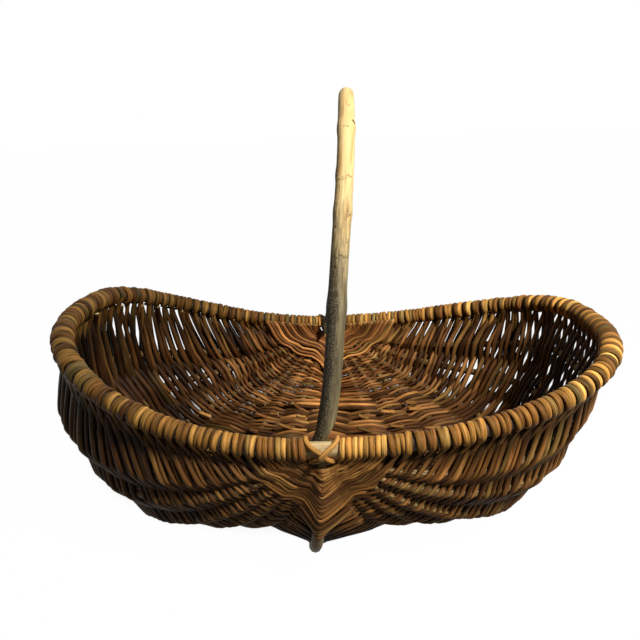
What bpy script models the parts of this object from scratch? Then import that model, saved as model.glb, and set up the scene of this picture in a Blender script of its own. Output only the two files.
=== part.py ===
"""Buttocks basket: a frame basket woven of willow on a rim hoop, a keel and fanned ribs.

Units are metres and Z is up. The front ear is on the -Y side and the basket's long way runs along X.
Everything is built about the line between the ears. As the basket's ends reach out unequally, it is
then slid along X until the origin is on the ground under the middle of its length.

Every long member of the frame (keel, ribs and rim) is a strand that runs from the front ear to the
back ear. A strand is a superellipse swung about the line that joins the ears: it starts at its place
in the fan at the ear and swings to its place in the middle section as it leaves the ear.
"""
import math

import bmesh
import bpy
from mathutils import Matrix, Vector

# Overall shape
RIM_REACH_RIGHT = 0.290
RIM_REACH_LEFT = 0.264
RIM_HALF_WIDTH = 0.200
RIM_RISE_RIGHT = 0.048
RIM_RISE_LEFT = 0.079
LOBE_REACH = 0.280
LOBE_DEPTH = 0.128
KEEL_DEPTH = 0.124
KEEL_SWAY = 0.0135

# Bars and rods
RIM_RADIUS = 0.0070
RIB_RADIUS = 0.0045
RIB_NECK_RADIUS = 0.0030
RIB_TIP_RADIUS = 0.0019
KEEL_RADIUS = 0.0055
KEEL_END_RADIUS = 0.0035
WEAVER_THICKNESS = 0.0040
PANEL_THICKNESS = 0.0070

# Clearances
FIT_GAP = 0.0003
KEEL_FIT_GAP = 0.0007
LIP_GAP = 0.0010
LIP_LAND = 0.0040
SEAM_GAP = 0.0003
REST_FLAT_DEPTH = 0.0010
MERGE_DISTANCE = 0.00001

# Handle bow
HANDLE_HEIGHT = 0.2855
HANDLE_FOOT_RADIUS = 0.0080
HANDLE_TOP_RADIUS = 0.0075
HANDLE_LEAN = 0.032
HANDLE_LEAN_SHARE = 0.61
HANDLE_FOOT_SHIFT = -0.0020
HANDLE_TAIL = 0.012
HANDLE_CUT_RISE = 0.026
HANDLE_CUT_LAND = 0.003
HANDLE_SQUARENESS_SHARE = 2.09
HANDLE_STEPS = 20

# Ear: the fan of rows that closes the corner between rim and keel
EAR_RADIUS = 0.060
EAR_THICKNESS = 0.018
EAR_INSET = 0.0015
EAR_ROW_PITCH = 0.0058
EAR_ROW_RELIEF = 0.0015
EAR_TURN_STEPS = 20
EAR_TO_PANEL_GAP = 0.004
RIB_SEAT_DEPTH = 0.018
RIB_TAPER_LENGTH = 0.041

# Crossed ties over the rim at each ear
TIE_RADIUS = 0.00225
TIE_TOP_OFFSET = 0.0135
TIE_FOOT_OFFSET = 0.0100
TIE_START_ANGLE = math.radians(-100.0)
TIE_CROSSING_ANGLE = math.radians(90.0)
TIE_END_ANGLE = math.radians(165.0)
TIE_HUMP_ANGLE = math.radians(30.0)
TIE_STEPS = 12

# Wrapping round the rim
WRAP_RADIUS = 0.0120
WRAP_BORE_RADIUS = 0.0080
WRAP_START = 0.020
WRAP_CLEARANCE = 0.0008
WRAP_SEAM_RUN = 0.006

# Middle section: place of each rib from the keel to the rim, as shares of lobe reach and lobe depth
RIB_REACH_SHARES = (0.200, 0.377, 0.554, 0.779, 0.907, 0.981)
RIB_DEPTH_SHARES = (0.977, 1.000, 0.971, 0.851, 0.420, 0.000)

# Superellipse exponents: a high one turns a sharper corner
RIB_SQUARENESS_SHARES = (2.9, 2.4, 2.3, 2.25, 2.5, 2.55)
RIM_SQUARENESS_SHARE = 2.72
KEEL_SQUARENESS_SHARE = 6.0

# Fan at the ear, measured from straight down
FAN_FIRST_ANGLE = math.radians(15.0)
FAN_STEP_ANGLE = math.radians(9.6)
FAN_RIM_ANGLE = math.radians(90.0)

# Stations along a strand, packed closer where it turns
SEGMENTS = 7
WALK_STEPS = 240
TURN_LENGTH = 0.060

# Slots under the rim, where the rows stand apart and the wall is open
SLOT_WIDTH = 0.008
SLOT_TO_WRAP_LAND = 0.007
SLOT_TO_RIB_LAND = 0.010
SLOT_OVERRUN = 0.010
SLOT_SEGMENTS = (3, 4, 5, 6)
SLOT_PLACE_SHARES = (0.25, 0.75)

# The rib channel is a flat-sided groove, wider than the round rib by this share
GROOVE_SHARE = 1.142
GROOVE_FLAT_SHARE = 0.45

# Stations where the keel's turn is left bare as a knob
KNOB_STATIONS = (2, 3)

RIBS_PER_SIDE = len(RIB_REACH_SHARES)
RIM_INDEX = RIBS_PER_SIDE + 1
RIB_TIP_REACH = EAR_RADIUS - RIB_SEAT_DEPTH
PANEL_START_REACH = EAR_RADIUS + EAR_TO_PANEL_GAP
RIB_FULL_REACH = PANEL_START_REACH + RIB_TAPER_LENGTH
EAR_HEIGHT = (LOBE_DEPTH + (RIB_RADIUS + FIT_GAP) * GROOVE_SHARE
              + WEAVER_THICKNESS - REST_FLAT_DEPTH)
HANDLE_HALF_SPAN = RIM_HALF_WIDTH - RIM_RADIUS - FIT_GAP - HANDLE_FOOT_RADIUS

FRONT = -1
BACK = 1
SIDE_NAMES = {FRONT: "front", BACK: "back"}

# Colour, roughness for each kind of stick
FINISHES = {
    "rim_wood": ((0.62, 0.45, 0.24), 0.60),
    "handle_wood": ((0.66, 0.56, 0.38), 0.55),
    "keel_wood": ((0.22, 0.17, 0.09), 0.60),
    "rib_wood": ((0.38, 0.24, 0.11), 0.65),
    "tie_rod": ((0.42, 0.24, 0.09), 0.60),
    "wrap_rod": ((0.52, 0.33, 0.12), 0.60),
    "ear_rod": ((0.26, 0.14, 0.06), 0.65),
    "weave_rod": ((0.30, 0.17, 0.08), 0.65),
}


def clear_scene():
    for obj in list(bpy.data.objects):
        bpy.data.objects.remove(obj, do_unlink=True)


def new_collection(name):
    collection = bpy.data.collections.new(name)
    bpy.context.scene.collection.children.link(collection)
    return collection


def make_material(name):
    colour, roughness = FINISHES[name]
    material = bpy.data.materials.new(name)
    material.use_nodes = True
    shader = material.node_tree.nodes["Principled BSDF"]
    shader.inputs["Base Color"].default_value = (*colour, 1.0)
    shader.inputs["Roughness"].default_value = roughness
    shader.inputs["Metallic"].default_value = 0.0
    return material


class Strand:
    """One line of the frame: how far it swings out, and its angles at the ear and in the middle."""

    def __init__(self, index):
        side = -1 if index < 0 else 1
        rank = abs(index)
        if rank == 0:
            x, z = -KEEL_SWAY, -KEEL_DEPTH
            self.ear_angle = 0.0
            self.squareness = KEEL_SQUARENESS_SHARE
        elif rank == RIM_INDEX:
            x = RIM_REACH_RIGHT if side > 0 else -RIM_REACH_LEFT
            z = RIM_RISE_RIGHT if side > 0 else RIM_RISE_LEFT
            self.ear_angle = side * FAN_RIM_ANGLE
            self.squareness = RIM_SQUARENESS_SHARE
        else:
            x = side * LOBE_REACH * RIB_REACH_SHARES[rank - 1]
            z = -LOBE_DEPTH * RIB_DEPTH_SHARES[rank - 1]
            self.ear_angle = side * (FAN_FIRST_ANGLE + (rank - 1) * FAN_STEP_ANGLE)
            self.squareness = RIB_SQUARENESS_SHARES[rank - 1]
        self.reach = math.hypot(x, z)
        self.middle_angle = math.atan2(x, -z)

    def point(self, turn):
        """Point on the front half; turn is 90 degrees at the ear and 0 in the middle."""
        swing = math.cos(turn) ** (2 / self.squareness)
        along = math.sin(turn) ** (2 / self.squareness)
        angle = self.ear_angle + (self.middle_angle - self.ear_angle) * swing
        out = self.reach * swing
        return Vector((out * math.sin(angle), -RIM_HALF_WIDTH * along,
                       EAR_HEIGHT - out * math.cos(angle)))

    def turn_at(self, reach):
        """Turn at which the strand is this far from the line between the ears."""
        return math.acos((reach / self.reach) ** (self.squareness / 2))

    def stations(self):
        """Points from the edge of the ear to the middle, closer together round the corner."""
        start = self.turn_at(PANEL_START_REACH)
        turns = [start * (1 - step / WALK_STEPS) for step in range(WALK_STEPS + 1)]
        walk = [self.point(turn) for turn in turns]
        marks = [0.0]
        for step in range(WALK_STEPS):
            leg = walk[step + 1] - walk[step]
            before = walk[step] - walk[step - 1] if step else leg
            marks.append(marks[-1] + leg.length + TURN_LENGTH * leg.angle(before))
        points = [walk[0]]
        step = 0
        for station in range(1, SEGMENTS):
            goal = marks[-1] * station / SEGMENTS
            while marks[step + 1] < goal:
                step += 1
            part = (goal - marks[step]) / (marks[step + 1] - marks[step])
            points.append(walk[step].lerp(walk[step + 1], part))
        points.append(walk[-1])
        return points


def mirror_y(point):
    return Vector((point.x, -point.y, point.z))


def station_grid():
    """Station points of every strand on the front half, with the skin's normals and tangents there."""
    indices = range(-RIM_INDEX, RIM_INDEX + 1)
    points = {index: Strand(index).stations() for index in indices}
    normals = {}
    tangents = {}
    for index in indices:
        low = points[max(index - 1, -RIM_INDEX)]
        high = points[min(index + 1, RIM_INDEX)]
        row = []
        runs = []
        for station in range(SEGMENTS + 1):
            before = points[index][max(station - 1, 0)]
            if station < SEGMENTS:
                after = points[index][station + 1]
            else:
                after = mirror_y(before)
            across = high[station] - low[station]
            row.append((after - before).cross(across).normalized())
            runs.append((after - before).normalized())
        normals[index] = row
        tangents[index] = runs
    return points, normals, tangents


def add_mesh(name, mesh, material, collection):
    mesh.materials.append(material)
    obj = bpy.data.objects.new(name, mesh)
    collection.objects.link(obj)
    return obj


def tube(name, points, radii, sides_step, collection, material=None, closed=False, capped=True):
    """Round stick along points; radii holds the radius at each of them."""
    curve = bpy.data.curves.new(name, "CURVE")
    curve.dimensions = "3D"
    curve.fill_mode = "FULL"
    thickest = max(radii)
    curve.bevel_depth = thickest
    curve.bevel_resolution = sides_step
    curve.use_fill_caps = capped
    spline = curve.splines.new("POLY")
    spline.points.add(len(points) - 1)
    for knot, point, radius in zip(spline.points, points, radii):
        knot.co = (*point, 1.0)
        knot.radius = radius / thickest
    spline.use_cyclic_u = closed
    spline.use_smooth = True
    if material:
        curve.materials.append(material)
    obj = bpy.data.objects.new(name, curve)
    collection.objects.link(obj)
    return obj


def curve_to_mesh(obj):
    """Replace a curve by its welded mesh, so that it can be cut or cut others."""
    evaluated = obj.evaluated_get(bpy.context.evaluated_depsgraph_get())
    mesh = bpy.data.meshes.new_from_object(evaluated)
    work = bmesh.new()
    work.from_mesh(mesh)
    bmesh.ops.remove_doubles(work, verts=work.verts, dist=MERGE_DISTANCE)
    bmesh.ops.recalc_face_normals(work, faces=work.faces)
    work.to_mesh(mesh)
    work.free()
    name = obj.name
    collection = obj.users_collection[0]
    placed = obj.matrix_world.copy()
    bpy.data.objects.remove(obj, do_unlink=True)
    solid = bpy.data.objects.new(name, mesh)
    solid.matrix_world = placed
    collection.objects.link(solid)
    return solid


def box_mesh(name, size, centre, collection):
    work = bmesh.new()
    bmesh.ops.create_cube(work, size=1.0)
    bmesh.ops.scale(work, vec=Vector(size), verts=work.verts)
    mesh = bpy.data.meshes.new(name)
    work.to_mesh(mesh)
    work.free()
    obj = bpy.data.objects.new(name, mesh)
    obj.location = centre
    collection.objects.link(obj)
    return obj


def join_meshes(name, objects, collection):
    """One cutter from several meshes that don't touch."""
    work = bmesh.new()
    for obj in objects:
        work.from_mesh(obj.data)
        bpy.data.objects.remove(obj, do_unlink=True)
    mesh = bpy.data.meshes.new(name)
    work.to_mesh(mesh)
    work.free()
    obj = bpy.data.objects.new(name, mesh)
    collection.objects.link(obj)
    return obj


def cut(obj, cutter):
    cutter.hide_render = True
    cutter.display_type = "WIRE"
    modifier = obj.modifiers.new("cut_" + cutter.name, "BOOLEAN")
    modifier.operation = "DIFFERENCE"
    modifier.solver = "EXACT"
    modifier.object = cutter


def end_to_end(front_points):
    """A whole strand from its front half, without doubling the middle."""
    back_points = [mirror_y(point) for point in reversed(front_points[:-1])]
    return front_points + back_points


def rib_radius_at(reach):
    """The rib is sharpened towards its tip: tip, neck at the ear's edge, then full size."""
    if reach < PANEL_START_REACH:
        part = (reach - RIB_TIP_REACH) / (PANEL_START_REACH - RIB_TIP_REACH)
        return RIB_TIP_RADIUS + (RIB_NECK_RADIUS - RIB_TIP_RADIUS) * part
    part = min((reach - PANEL_START_REACH) / (RIB_FULL_REACH - PANEL_START_REACH), 1.0)
    return RIB_NECK_RADIUS + (RIB_RADIUS - RIB_NECK_RADIUS) * part


def reach_of(point):
    return math.hypot(point.x, point.z - EAR_HEIGHT)


def rib_tip(strand):
    """Sharpened end of a rib, deep in the ear."""
    return strand.point(strand.turn_at(RIB_TIP_REACH))


def make_ribs(grid, material, collection):
    for index, stations in grid.items():
        rank = abs(index)
        if rank in (0, RIM_INDEX):
            continue
        side = "left" if index < 0 else "right"
        points = end_to_end([rib_tip(Strand(index))] + stations)
        radii = [rib_radius_at(reach_of(point)) for point in points]
        tube(f"rib_{side}_{rank}", points, radii, 1, collection, material)


def keel_radius_at(reach):
    part = min(reach / PANEL_START_REACH, 1.0)
    return KEEL_END_RADIUS + (KEEL_RADIUS - KEEL_END_RADIUS) * part


def keel_head():
    """Points of the keel inside the ear, up to the underside of the rim."""
    strand = Strand(0)
    top = RIM_RADIUS + FIT_GAP
    middle = (top + PANEL_START_REACH) / 2
    return [strand.point(strand.turn_at(reach)) for reach in (top, middle)]


def make_keel(stations, material, collection):
    points = end_to_end(keel_head() + stations)
    radii = [keel_radius_at(reach_of(point)) for point in points]
    tube("keel", points, radii, 2, collection, material)


def rim_quarter(index, stations):
    """Front points of one side of the rim, from the start of its wrapping to its end."""
    strand = Strand(index)
    return [strand.point(strand.turn_at(WRAP_START))] + stations


def make_rim(grid, material, collection):
    right = end_to_end(rim_quarter(RIM_INDEX, grid[RIM_INDEX]))
    left = end_to_end(rim_quarter(-RIM_INDEX, grid[-RIM_INDEX]))
    front_ear = Vector((0, -RIM_HALF_WIDTH, EAR_HEIGHT))
    points = [front_ear] + right + [mirror_y(front_ear)] + list(reversed(left))
    tube("rim_hoop", points, [RIM_RADIUS] * len(points), 2, collection, material, closed=True)


def make_rim_wraps(grid, material, collection):
    """A sleeve on each quarter of the rim; the bare rim shows at the ears."""
    for index in (-RIM_INDEX, RIM_INDEX):
        side = "left" if index < 0 else "right"
        for end in (FRONT, BACK):
            points = rim_quarter(index, grid[index])
            seam = points.pop()
            points.append(seam - Vector((0, WRAP_SEAM_RUN, 0)))
            points.append(seam - Vector((0, SEAM_GAP / 2, 0)))
            if end == BACK:
                points = [mirror_y(point) for point in points]
            name = f"rim_wrap_{SIDE_NAMES[end]}_{side}"
            radii = [WRAP_RADIUS] * len(points)
            sleeve = tube(name, points, radii, 2, collection, material, capped=False)
            wall = sleeve.modifiers.new("wall", "SOLIDIFY")
            wall.thickness = WRAP_RADIUS - WRAP_BORE_RADIUS
            wall.offset = -1.0
            wall.use_even_offset = True


def strand_radius(index, point):
    if index == 0:
        return keel_radius_at(reach_of(point))
    return rib_radius_at(reach_of(point))


def panel_edge(index, station, point, normal, inward):
    """Points of a panel's edge, from its outer face to its inner one.

    Beside a rib or the keel the edge is a channel of seven points that holds it, with a lip of
    weaving over it on each face. Beside the rim it is a flat edge of three under the wrapping.
    """
    half = PANEL_THICKNESS / 2
    if abs(index) == RIM_INDEX:
        back_off = WRAP_RADIUS + WRAP_CLEARANCE
        places = ((back_off + LIP_LAND, half), (back_off, half), (back_off, -half))
        return [point + inward * out + normal * up for out, up in places]
    fit = KEEL_FIT_GAP if index == 0 else FIT_GAP
    groove = (strand_radius(index, point) + fit) * GROOVE_SHARE
    lip = groove + WEAVER_THICKNESS
    flat = groove * GROOVE_FLAT_SHARE
    seam = LIP_GAP / 2
    if index == 0 and station in KNOB_STATIONS:
        top = max(half, flat + fit)
        outer_lip = [(groove + LIP_LAND, top), (groove, top), (groove, (top + flat) / 2), (groove, flat)]
    else:
        outer_lip = [(seam + LIP_LAND, lip), (seam, lip), (seam, groove), (groove, flat)]
    inner_lip = [(groove, -flat), (seam, -groove), (seam, -lip)]
    return [point + inward * out + normal * up for out, up in outer_lip + inner_lip]


def edge_middle(edge):
    """Middle of the two innermost points of a panel's edge."""
    half = len(edge) // 2
    return (edge[half] + edge[half + 1]) / 2


def panel_ring(low, station, points, normals, tangents):
    """Closed outline of the panel between strand low and the next, at one station."""
    high = low + 1
    a, b = points[low][station], points[high][station]
    na, nb = normals[low][station], normals[high][station]
    from_a = tangents[low][station].cross(na).normalized()
    from_b = tangents[high][station].cross(nb).normalized()
    from_a *= math.copysign(1, from_a.dot(b - a))
    from_b *= math.copysign(1, from_b.dot(a - b))
    edge_a = panel_edge(low, station, a, na, from_a)
    edge_b = panel_edge(high, station, b, nb, from_b)
    centre = (edge_middle(edge_a) + edge_middle(edge_b)) / 2
    middle = (na + nb).normalized() * (PANEL_THICKNESS / 2)
    ring = [centre + middle] + edge_b + [centre - middle] + list(reversed(edge_a))
    for point in ring:
        point.z = max(point.z, 0)
        if station == SEGMENTS:
            point.y = -SEAM_GAP / 2
    return ring


def loft(name, rings, material, collection):
    """Closed skin over rings that have as many points each."""
    work = bmesh.new()
    rows = [[work.verts.new(point) for point in ring] for ring in rings]
    for row, following in zip(rows, rows[1:]):
        for spot in range(len(row)):
            after = (spot + 1) % len(row)
            work.faces.new((row[spot], row[after], following[after], following[spot]))
    work.faces.new(list(reversed(rows[0])))
    work.faces.new(rows[-1])
    bmesh.ops.recalc_face_normals(work, faces=work.faces)
    mesh = bpy.data.meshes.new(name)
    work.to_mesh(mesh)
    work.free()
    return add_mesh(name, mesh, material, collection)


def rim_slots(index, points, end, cutters):
    """One cutter for the slots of a panel that hangs from the rim: bars across it, square to its face."""
    rim_line = points[index]
    rib_line = points[index - 1 if index > 0 else index + 1]
    bars = []
    for segment in SLOT_SEGMENTS:
        for share in SLOT_PLACE_SHARES:
            top = rim_line[segment].lerp(rim_line[segment + 1], share)
            foot = rib_line[segment].lerp(rib_line[segment + 1], share)
            across = (top - foot).normalized()
            run = rib_line[segment + 1] - rib_line[segment]
            along = (run - across * run.dot(across)).normalized()
            high = top - across * (WRAP_RADIUS + WRAP_CLEARANCE + SLOT_TO_WRAP_LAND)
            low = foot + across * SLOT_TO_RIB_LAND
            size = (SLOT_WIDTH, (high - low).length, PANEL_THICKNESS + SLOT_OVERRUN * 2)
            axes = Matrix((along, across, along.cross(across))).transposed()
            bar = box_mesh(f"slot_{index}_{segment}_{share}", size, (0, 0, 0), cutters)
            bar.data.transform(Matrix.Translation((high + low) / 2) @ axes.to_4x4())
            if end == BACK:
                bar.data.transform(Matrix.Scale(-1, 4, (0, 1, 0)))
                bar.data.flip_normals()
            bars.append(bar)
    return join_meshes(f"rim_slots_{SIDE_NAMES[end]}_{index}", bars, cutters)


def make_panels(points, normals, tangents, material, collection, cutters):
    """Weaving between neighbouring strands, from each ear to the middle where the two halves meet."""
    for low in range(-RIM_INDEX, RIM_INDEX):
        side = "left" if low < 0 else "right"
        rank = -low if low < 0 else low + 1
        rings = [panel_ring(low, station, points, normals, tangents) for station in range(SEGMENTS + 1)]
        mirrored = [[mirror_y(point) for point in ring] for ring in rings]
        for end, skin in ((FRONT, rings), (BACK, mirrored)):
            panel = loft(f"weave_{SIDE_NAMES[end]}_{side}_{rank}", skin, material, collection)
            if rank == RIM_INDEX:
                cut(panel, rim_slots(low if low < 0 else low + 1, points, end, cutters))


def ear_profile():
    """Half outline of the ear as (radius, height): ridged rows outside, flat inside."""
    half = EAR_THICKNESS / 2
    rows = int(EAR_RADIUS / EAR_ROW_PITCH)
    pitch = EAR_RADIUS / rows
    outline = [(0, half)]
    for row in range(rows):
        outline.append(((row + 0.5) * pitch, half))
        outline.append(((row + 1) * pitch, half - EAR_ROW_RELIEF))
    outline.append((EAR_RADIUS, -half))
    outline.append((0, -half))
    return outline


def ear_disc(name, end, material, collection):
    """Full turned disc, its axis along Y and its ridged face outwards."""
    work = bmesh.new()
    previous = None
    for radius, height in ear_profile():
        vertex = work.verts.new((radius, 0, height))
        if previous:
            work.edges.new((previous, vertex))
        previous = vertex
    mesh = bpy.data.meshes.new(name)
    work.to_mesh(mesh)
    work.free()
    obj = add_mesh(name, mesh, material, collection)
    turn = obj.modifiers.new("turn", "SCREW")
    turn.axis = "Z"
    turn.steps = EAR_TURN_STEPS
    turn.render_steps = EAR_TURN_STEPS
    turn.use_merge_vertices = True
    turn.merge_threshold = MERGE_DISTANCE
    obj.rotation_euler = (math.radians(-90.0) * end, 0, 0)
    obj.location = (0, end * (RIM_HALF_WIDTH - EAR_INSET), EAR_HEIGHT)
    return obj


def ear_cutters(end, cutters):
    """What is taken from the ear disc: its upper part, the keel's bed and the rib sockets."""
    name = SIDE_NAMES[end]
    drop = RIM_RADIUS + FIT_GAP + TIE_RADIUS * 2 + FIT_GAP * 2
    size = EAR_RADIUS * 3
    top = box_mesh(f"ear_top_{name}", (size, size, size),
                   (0, end * RIM_HALF_WIDTH, EAR_HEIGHT - drop + size / 2), cutters)
    keel_strand = Strand(0)
    keel_reaches = (drop / 2, PANEL_START_REACH / 2, PANEL_START_REACH)
    keel_points = [keel_strand.point(keel_strand.turn_at(reach)) for reach in keel_reaches]
    keel_radii = [keel_radius_at(reach) + KEEL_FIT_GAP for reach in keel_reaches]
    sockets = []
    for index in range(-RIBS_PER_SIDE, RIBS_PER_SIDE + 1):
        if index == 0:
            continue
        strand = Strand(index)
        reaches = (RIB_TIP_REACH - FIT_GAP * 2, PANEL_START_REACH)
        path = [strand.point(strand.turn_at(reach)) for reach in reaches]
        radii = [rib_radius_at(reach) * GROOVE_SHARE + FIT_GAP for reach in reaches]
        path = path if end == FRONT else [mirror_y(point) for point in path]
        sockets.append(curve_to_mesh(tube(f"socket_{name}_{index}", path, radii, 2, cutters)))
    if end == BACK:
        keel_points = [mirror_y(point) for point in keel_points]
    bed = curve_to_mesh(tube(f"keel_bed_{name}", keel_points, keel_radii, 2, cutters))
    return [top, bed, join_meshes(f"rib_sockets_{name}", sockets, cutters)]


def make_ears(material, collection, cutters):
    for end in (FRONT, BACK):
        disc = ear_disc(f"ear_weave_{SIDE_NAMES[end]}", end, material, collection)
        for cutter in ear_cutters(end, cutters):
            cut(disc, cutter)


def tie_path(hand, lift):
    """Rod that comes up inside the rim, crosses its outer face and is tucked in under it.

    hand is the side where the rod comes up; lift carries the outer rod over the inner one.
    """
    path = []
    for step in range(TIE_STEPS + 1):
        angle = TIE_START_ANGLE + (TIE_END_ANGLE - TIE_START_ANGLE) * step / TIE_STEPS
        past = angle - TIE_CROSSING_ANGLE
        if past < 0:
            part = max(angle / TIE_CROSSING_ANGLE, 0)
            x = hand * TIE_TOP_OFFSET * (1 - part * part)
        else:
            x = -hand * TIE_FOOT_OFFSET * past / (TIE_END_ANGLE - TIE_CROSSING_ANGLE)
        out = RIM_RADIUS + FIT_GAP * 2 + TIE_RADIUS + lift * math.exp(-(past / TIE_HUMP_ANGLE) ** 2)
        path.append(Vector((x, -RIM_HALF_WIDTH - out * math.sin(angle), EAR_HEIGHT + out * math.cos(angle))))
    return path


def make_ties(material, collection):
    for end in (FRONT, BACK):
        for number, hand, lift in ((1, -1, 0), (2, 1, TIE_RADIUS * 2 + FIT_GAP * 2)):
            path = tie_path(hand, lift)
            if end == BACK:
                path = [mirror_y(point) for point in path]
            name = f"ear_tie_{SIDE_NAMES[end]}_{number}"
            tube(name, path, [TIE_RADIUS] * len(path), 1, collection, material)


def make_handle(material, collection, cutters):
    """Bow over the basket, with both feet inside the rim and cut on a slant."""
    points = [Vector((HANDLE_FOOT_SHIFT, -HANDLE_HALF_SPAN, EAR_HEIGHT - HANDLE_TAIL))]
    radii = [HANDLE_FOOT_RADIUS]
    power = 2 / HANDLE_SQUARENESS_SHARE
    for step in range(HANDLE_STEPS + 1):
        turn = math.pi * step / HANDLE_STEPS
        rise = math.sin(turn) ** power if 0 < step < HANDLE_STEPS else 0.0
        side = -math.copysign(abs(math.cos(turn)) ** power, math.cos(turn))
        lean = HANDLE_FOOT_SHIFT + HANDLE_LEAN * rise ** HANDLE_LEAN_SHARE
        points.append(Vector((lean, HANDLE_HALF_SPAN * side, EAR_HEIGHT + HANDLE_HEIGHT * rise)))
        radii.append(HANDLE_FOOT_RADIUS + (HANDLE_TOP_RADIUS - HANDLE_FOOT_RADIUS) * rise)
    points.append(mirror_y(points[0]))
    radii.append(HANDLE_FOOT_RADIUS)
    handle = curve_to_mesh(tube("handle_bow", points, radii, 3, collection, material))
    for end in (FRONT, BACK):
        size = HANDLE_CUT_RISE * 2
        slant = math.atan2(HANDLE_CUT_RISE, HANDLE_FOOT_RADIUS * 2)
        away = Vector((math.sin(slant), 0, -math.cos(slant)))
        toe = Vector((HANDLE_FOOT_SHIFT + HANDLE_CUT_LAND - HANDLE_FOOT_RADIUS,
                      end * HANDLE_HALF_SPAN, EAR_HEIGHT - HANDLE_TAIL))
        centre = toe + away * (size / 2)
        cutter = box_mesh(f"slant_{SIDE_NAMES[end]}", (size * 2, size, size), centre, cutters)
        cutter.rotation_euler = (0, -slant, 0)
        cut(handle, cutter)


def stand_on_origin(collection):
    """Slide every object along X so that the origin is under the middle of the basket's length."""
    graph = bpy.context.evaluated_depsgraph_get()
    places = []
    for obj in collection.objects:
        whole = obj.evaluated_get(graph)
        places += [(whole.matrix_world @ vertex.co).x for vertex in whole.to_mesh().vertices]
        whole.to_mesh_clear()
    middle = (min(places) + max(places)) / 2
    for obj in bpy.data.objects:
        obj.location.x -= middle


def main():
    clear_scene()
    basket = new_collection("buttocks_basket")
    cutters = new_collection("cutters")
    materials = {name: make_material(name) for name in FINISHES}
    points, normals, tangents = station_grid()
    make_rim(points, materials["rim_wood"], basket)
    make_rim_wraps(points, materials["wrap_rod"], basket)
    make_keel(points[0], materials["keel_wood"], basket)
    make_ribs(points, materials["rib_wood"], basket)
    make_panels(points, normals, tangents, materials["weave_rod"], basket, cutters)
    make_ears(materials["ear_rod"], basket, cutters)
    make_ties(materials["tie_rod"], basket)
    make_handle(materials["handle_wood"], basket, cutters)
    stand_on_origin(basket)


main()
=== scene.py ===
"""Looks of the buttocks basket: willow rows woven through its ribs, a wrapped rim and an old stick handle.

Metres, +Z up. The front ear is on the -Y side and the basket's long way runs along X. The shape of the
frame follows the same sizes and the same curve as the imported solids.
"""
import math

import bpy
import numpy as np
from mathutils import Matrix, Vector


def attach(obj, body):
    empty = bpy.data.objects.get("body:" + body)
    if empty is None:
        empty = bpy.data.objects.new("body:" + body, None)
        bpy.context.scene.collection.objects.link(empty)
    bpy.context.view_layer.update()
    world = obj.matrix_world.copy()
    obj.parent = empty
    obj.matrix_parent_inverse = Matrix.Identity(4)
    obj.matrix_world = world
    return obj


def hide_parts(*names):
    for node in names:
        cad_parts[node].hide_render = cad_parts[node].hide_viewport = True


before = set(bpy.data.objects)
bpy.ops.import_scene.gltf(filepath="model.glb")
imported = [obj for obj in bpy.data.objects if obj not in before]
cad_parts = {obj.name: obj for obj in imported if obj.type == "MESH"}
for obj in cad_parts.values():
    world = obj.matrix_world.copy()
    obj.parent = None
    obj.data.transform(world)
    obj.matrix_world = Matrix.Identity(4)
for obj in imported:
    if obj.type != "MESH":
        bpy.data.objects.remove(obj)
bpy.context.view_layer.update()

# Frame of the basket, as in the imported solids
EAR_X = -0.00863
RIM_REACH_RIGHT = 0.290
RIM_REACH_LEFT = 0.264
RIM_HALF_WIDTH = 0.200
RIM_RISE_RIGHT = 0.048
RIM_RISE_LEFT = 0.079
LOBE_REACH = 0.280
LOBE_DEPTH = 0.128
KEEL_DEPTH = 0.124
KEEL_SWAY = 0.0135
EAR_HEIGHT = 0.13648
RIM_RADIUS = 0.0070
RIB_RADIUS = 0.0045
RIB_NECK_RADIUS = 0.0030
RIB_TIP_RADIUS = 0.0019
KEEL_RADIUS = 0.0055
KEEL_END_RADIUS = 0.0035
RIB_TIP_REACH = 0.042
RIB_NECK_REACH = 0.064
RIB_FULL_REACH = 0.105
KEEL_TOP_REACH = 0.0073
RIB_REACH_SHARES = (0.200, 0.377, 0.554, 0.779, 0.907, 0.981)
RIB_DEPTH_SHARES = (0.977, 1.000, 0.971, 0.851, 0.420, 0.000)
RIB_SQUARENESS = (2.9, 2.4, 2.3, 2.25, 2.5, 2.55)
RIM_SQUARENESS = 2.72
KEEL_SQUARENESS = 6.0
FAN_FIRST_ANGLE = math.radians(15.0)
FAN_STEP_ANGLE = math.radians(9.6)
FAN_RIM_ANGLE = math.radians(90.0)
RIBS = 6
RIM = RIBS + 1
STRANDS = 2 * RIM + 1
STRAND_ORDER = range(-RIM, RIM + 1)
HALF_STEPS = 400
LINE_STEPS = 6000

# How the frame's sticks are drawn: one in so many points of a strand, sides of a ring, and swells with
# their depth, speed along the stick and shift from one stick to the next
STICK_STRIDE = 4
STICK_SIDES = 10
STICK_SWELLS = ((0.05, 41, 1), (0.04, 97, 2))
HOOP_STRIDE = 2
HOOP_SIDES = 16

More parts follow.
